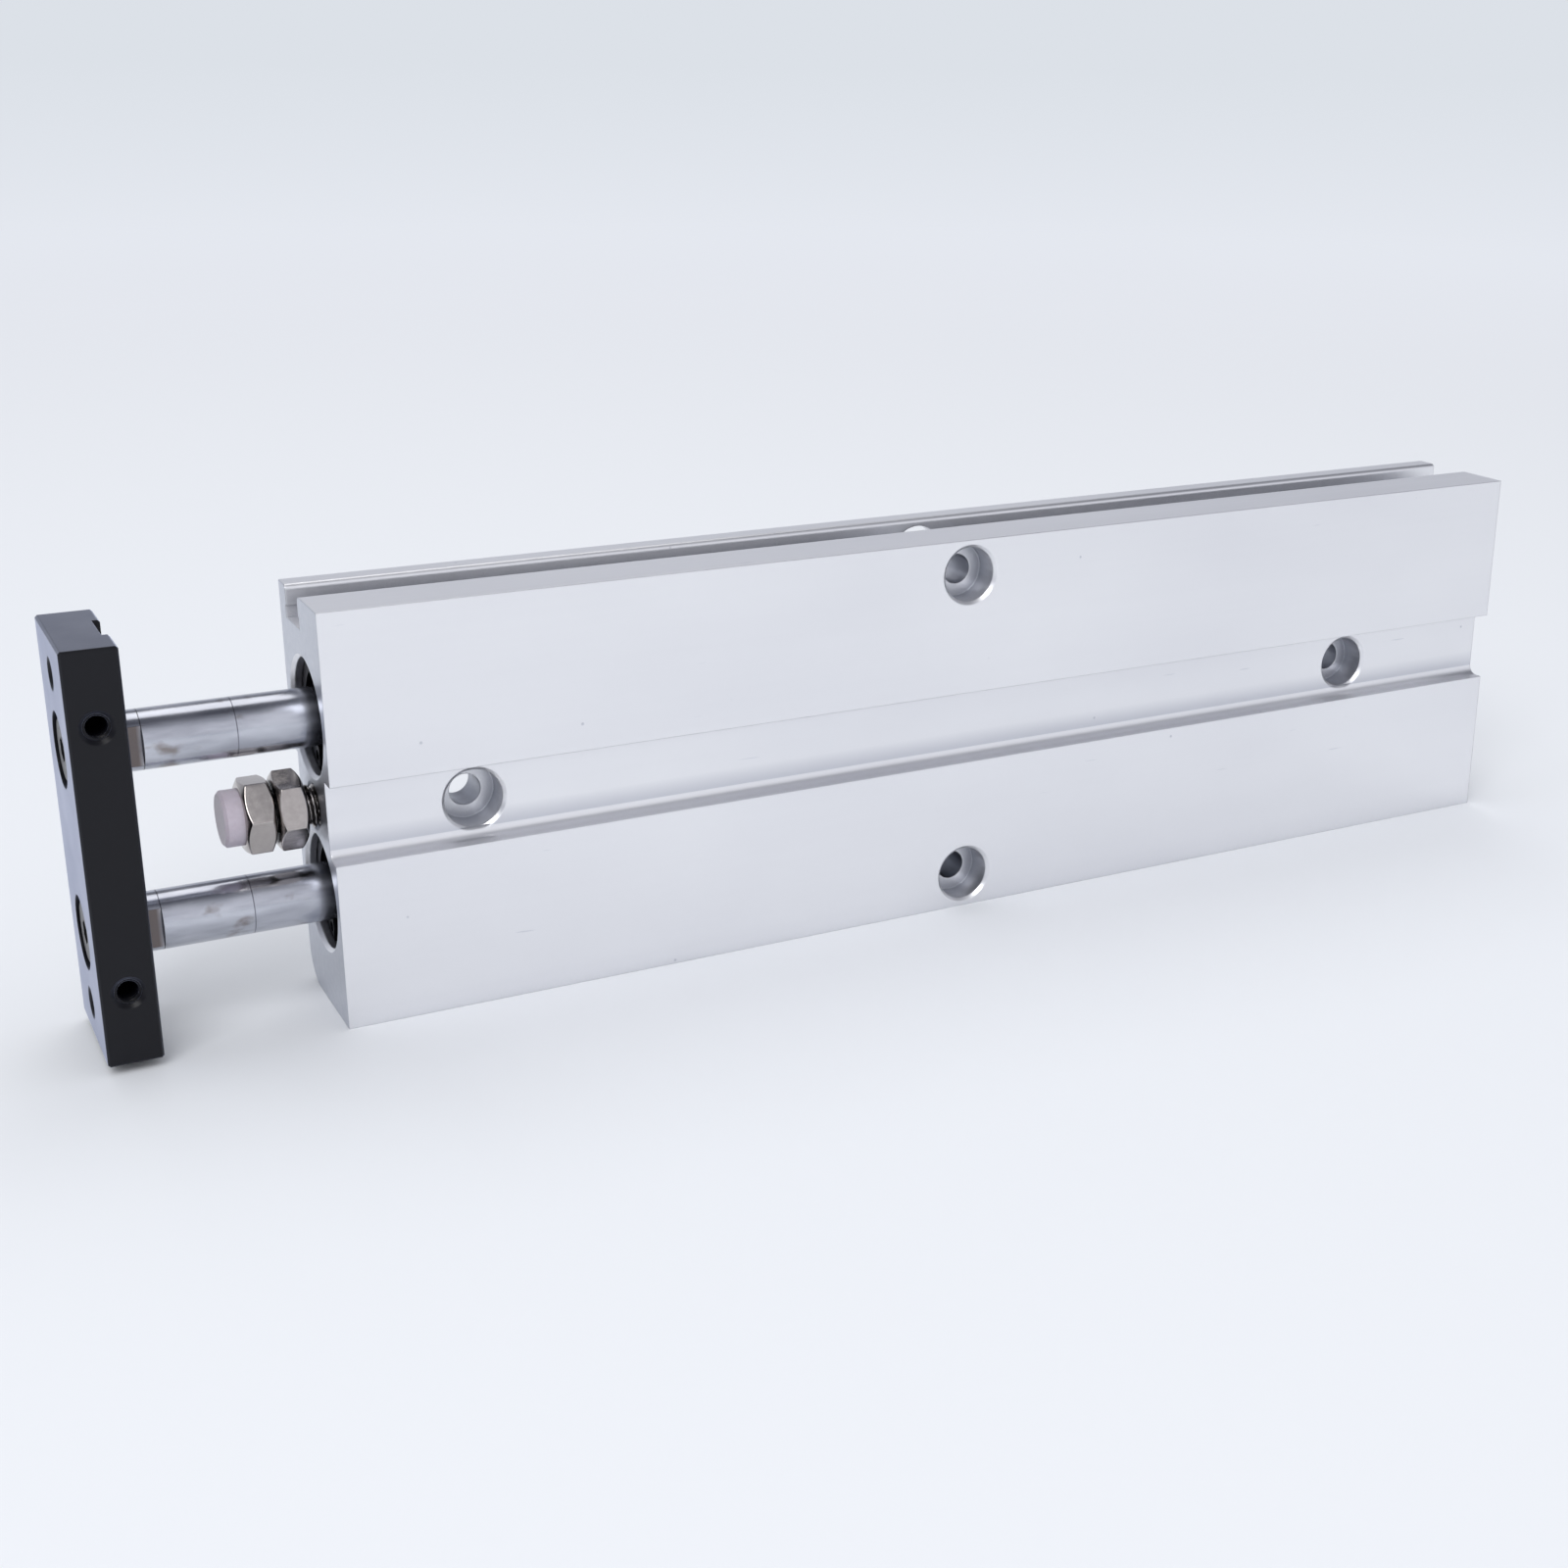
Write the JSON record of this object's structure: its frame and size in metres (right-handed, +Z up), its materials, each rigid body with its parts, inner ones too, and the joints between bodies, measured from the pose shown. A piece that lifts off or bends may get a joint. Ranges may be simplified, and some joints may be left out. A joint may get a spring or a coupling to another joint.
{
  "type": "guided pneumatic cylinder",
  "caption": "Flat dual-rod pneumatic cylinder: a grooved aluminium barrel with side-by-side bores, chromed rods tied by a black end plate, and an adjustable central stop bolt.",
  "frame": {"origin": "midway across the resting narrow face, at the barrel's rod-end face", "axes": "+X along the barrel away from the end plate, +Z up across the bores from the resting narrow face to the sensor slot, +Y towards the wide face nearer the sensor slot"},
  "size_m": [0.2309, 0.02, 0.058],
  "materials": {
    "anodised_aluminium": "satin clear anodised extrusion",
    "black_anodised_aluminium": "satin black anodised",
    "dark_anodised_aluminium": "black anodised",
    "machined_aluminium": "turned",
    "chromed_steel": "ground and hard chromed",
    "nickel_plated_steel": "bright nickel plate",
    "black_steel": "black oxide",
    "zinc_plated_steel": "zinc plate",
    "sintered_bronze": "oil-filled sintered bronze",
    "bonded_magnet": "moulded bonded ferrite",
    "filled_nylon": "moulded",
    "nitrile_rubber": "moulded",
    "urethane": "pale translucent urethane",
    "cushion_urethane": "moulded urethane"
  },
  "bodies": {
    "barrel": {"body_extrusion": "anodised_aluminium", "lower_cover_o_ring": "nitrile_rubber", "lower_front_cushion": "cushion_urethane", "lower_front_retaining_ring": "black_steel", "lower_rear_cap": "dark_anodised_aluminium", "lower_rear_cap_o_ring": "nitrile_rubber", "lower_rear_cushion": "cushion_urethane", "lower_rear_retaining_ring": "black_steel", "lower_rod_bush": "sintered_bronze", "lower_rod_cover": "dark_anodised_aluminium", "lower_rod_seal": "nitrile_rubber", "upper_cover_o_ring": "nitrile_rubber", "upper_front_cushion": "cushion_urethane", "upper_front_retaining_ring": "black_steel", "upper_rear_cap": "dark_anodised_aluminium", "upper_rear_cap_o_ring": "nitrile_rubber", "upper_rear_cushion": "cushion_urethane", "upper_rear_retaining_ring": "black_steel", "upper_rod_bush": "sintered_bronze", "upper_rod_cover": "dark_anodised_aluminium", "upper_rod_seal": "nitrile_rubber"},
    "rod_assembly": {"end_plate": "black_anodised_aluminium", "lower_piston_front": "machined_aluminium", "lower_piston_magnet": "bonded_magnet", "lower_piston_rear": "machined_aluminium", "lower_piston_screw": "zinc_plated_steel", "lower_piston_seal": "nitrile_rubber", "lower_piston_wear_ring": "filled_nylon", "lower_plate_screw": "black_steel", "lower_rod": "chromed_steel", "upper_piston_front": "machined_aluminium", "upper_piston_magnet": "bonded_magnet", "upper_piston_rear": "machined_aluminium", "upper_piston_screw": "zinc_plated_steel", "upper_piston_seal": "nitrile_rubber", "upper_piston_wear_ring": "filled_nylon", "upper_plate_screw": "black_steel", "upper_rod": "chromed_steel"},
    "bumper": {"bolt_bumper": "urethane"},
    "adjusting_screw": {"adjusting_bolt": "nickel_plated_steel", "lock_nut": "nickel_plated_steel"}
  },
  "joints": [
    {"name": "rod_slide", "type": "slide", "parent": "barrel", "child": "rod_assembly", "axis": [-1, 0, 0], "range_m": [-0.0114, 0.1385]},
    {"name": "bumper_travel", "type": "slide", "parent": "barrel", "child": "bumper", "axis": [1, 0, 0], "range_m": [0, 0.001]},
    {"name": "adjuster_turn", "type": "hinge", "parent": "bumper", "child": "adjusting_screw", "pos_m": [0, 0, 0.029], "axis": [1, 0, 0], "range_deg": [0, 360]}
  ],
  "couplings": [
    {"joint": "bumper_travel", "follows": "adjuster_turn", "m_per_rad": 0.00015915}
  ]
}
